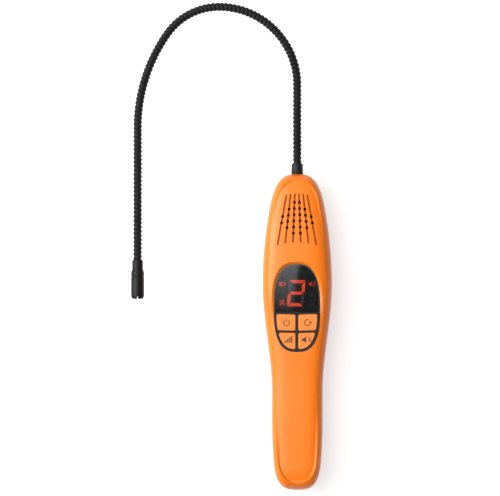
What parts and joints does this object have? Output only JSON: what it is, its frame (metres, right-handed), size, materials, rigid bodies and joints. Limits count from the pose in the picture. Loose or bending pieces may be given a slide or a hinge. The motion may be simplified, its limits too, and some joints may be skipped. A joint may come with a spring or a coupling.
{
  "type": "refrigerant leak detector",
  "caption": "Hand-held refrigerant leak detector: waisted orange handle with oval display and key panel, sounder slots and a black gooseneck probe with a slotted sensor tip.",
  "frame": {"origin": "middle of the handle's flat back, which rests on the table", "axes": "+X across the handle, +Y along the handle towards the gooseneck, +Z out of the display"},
  "size_m": [0.1461, 0.3543, 0.0379],
  "materials": {
    "housing_orange": "fine satin moulding texture",
    "key_orange": "soft satin",
    "panel_black": "satin",
    "smoked_lens": "polished",
    "display_black": "semi gloss",
    "light_red": "lit diffuser",
    "light_off": "unlit diffuser",
    "board_green": "solder mask",
    "chip_black": "matt",
    "nylon_white": "matt",
    "screw_steel": "zinc plated",
    "nickel_contact": "nickel plated",
    "paper_cone": "pressed paper",
    "magnet_grey": "ferrite",
    "cell_wrap": "printed sleeve",
    "neck_black": "satin black coating",
    "rubber_black": "matt",
    "brass": "machined",
    "lead_sleeve": "matt",
    "sensor_metal": "drawn"
  },
  "bodies": {
    "handle": {"front_shell": "housing_orange", "rear_shell": "housing_orange", "case_screws": "screw_steel", "display_lens": "smoked_lens", "keypad_bezel": "panel_black", "switch_bodies": "chip_black", "main_board": "board_green", "board_chips": "chip_black", "board_screws": "screw_steel", "lead_connector": "nylon_white", "display_module": "display_black", "lit_segments": "light_red", "dim_segments": "light_off", "lit_icons": "light_red", "dim_icons": "light_off", "sounder_frame": "screw_steel", "sounder_cone": "paper_cone", "sounder_magnet": "magnet_grey", "fan_housing": "chip_black", "fan_motor": "screw_steel", "cell_1": "cell_wrap", "cell_2": "cell_wrap", "cell_3": "cell_wrap", "cell_4": "cell_wrap", "bridge_contact": "nickel_contact", "positive_contact": "nickel_contact", "negative_contact": "nickel_contact", "neck_boot": "rubber_black", "neck_ferrule": "brass", "neck_nut": "brass", "gooseneck_root": "neck_black", "sensor_lead": "lead_sleeve"},
    "key_power_body": {"key_power": "key_orange", "plunger_power": "chip_black"},
    "key_reset_body": {"key_reset": "key_orange", "plunger_reset": "chip_black"},
    "key_sensitivity_body": {"key_sensitivity": "key_orange", "plunger_sensitivity": "chip_black"},
    "key_mute_body": {"key_mute": "key_orange", "plunger_mute": "chip_black"},
    "battery_door_body": {"battery_door": "housing_orange"},
    "fan_rotor_body": {"fan_rotor": "nylon_white"},
    "neck_1": {"gooseneck_link_1": "neck_black"},
    "neck_2": {"gooseneck_link_2": "neck_black"},
    "neck_3": {"gooseneck_link_3": "neck_black"},
    "probe": {"gooseneck_link_4": "neck_black", "probe_holder": "panel_black", "sensor_socket": "nylon_white", "sensor_pins": "brass", "sensor_element": "sensor_metal", "cap_seal": "rubber_black"},
    "sensor_cap_body": {"sensor_cap": "panel_black"}
  },
  "joints": [
    {"name": "press_power", "type": "slide", "parent": "handle", "child": "key_power_body", "axis": [0, 0, -1], "range_m": [0, 0.0006], "stiffness_N_per_m": 1500},
    {"name": "press_reset", "type": "slide", "parent": "handle", "child": "key_reset_body", "axis": [0, 0, -1], "range_m": [0, 0.0006], "stiffness_N_per_m": 1500},
    {"name": "press_sensitivity", "type": "slide", "parent": "handle", "child": "key_sensitivity_body", "axis": [0, 0, -1], "range_m": [0, 0.0006], "stiffness_N_per_m": 1500},
    {"name": "press_mute", "type": "slide", "parent": "handle", "child": "key_mute_body", "axis": [0, 0, -1], "range_m": [0, 0.0006], "stiffness_N_per_m": 1500},
    {"name": "battery_door_slide", "type": "slide", "parent": "handle", "child": "battery_door_body", "axis": [0, -1, 0], "range_m": [0, 0.06]},
    {"name": "fan_spin", "type": "hinge", "parent": "handle", "child": "fan_rotor_body", "pos_m": [0, 0.0765, 0.0105], "axis": [0, 0, 1], "continuous": true},
    {"name": "neck_root_bend", "type": "hinge", "parent": "handle", "child": "neck_1", "pos_m": [0, 0.1315, 0.019], "axis": [0, 0, 1], "range_deg": [-15, 6], "deforming": ["sensor_lead"]},
    {"name": "neck_rise_bend", "type": "hinge", "parent": "neck_1", "child": "neck_2", "pos_m": [0, 0.1796, 0.019], "axis": [0, 0, 1], "range_deg": [-20, 6], "deforming": ["sensor_lead"]},
    {"name": "neck_arch_bend", "type": "hinge", "parent": "neck_2", "child": "neck_3", "pos_m": [-0.057, 0.2366, 0.019], "axis": [0, 0, 1], "range_deg": [-20, 6], "deforming": ["sensor_lead"]},
    {"name": "neck_drop_bend", "type": "hinge", "parent": "neck_3", "child": "probe", "pos_m": [-0.11069, 0.18451, 0.019], "axis": [0, 0, 1], "range_deg": [-20, 6], "deforming": ["sensor_lead"]},
    {"name": "sensor_cap_pull", "type": "slide", "parent": "probe", "child": "sensor_cap_body", "axis": [0, -1, 0], "range_m": [0, 0.018]}
  ]
}
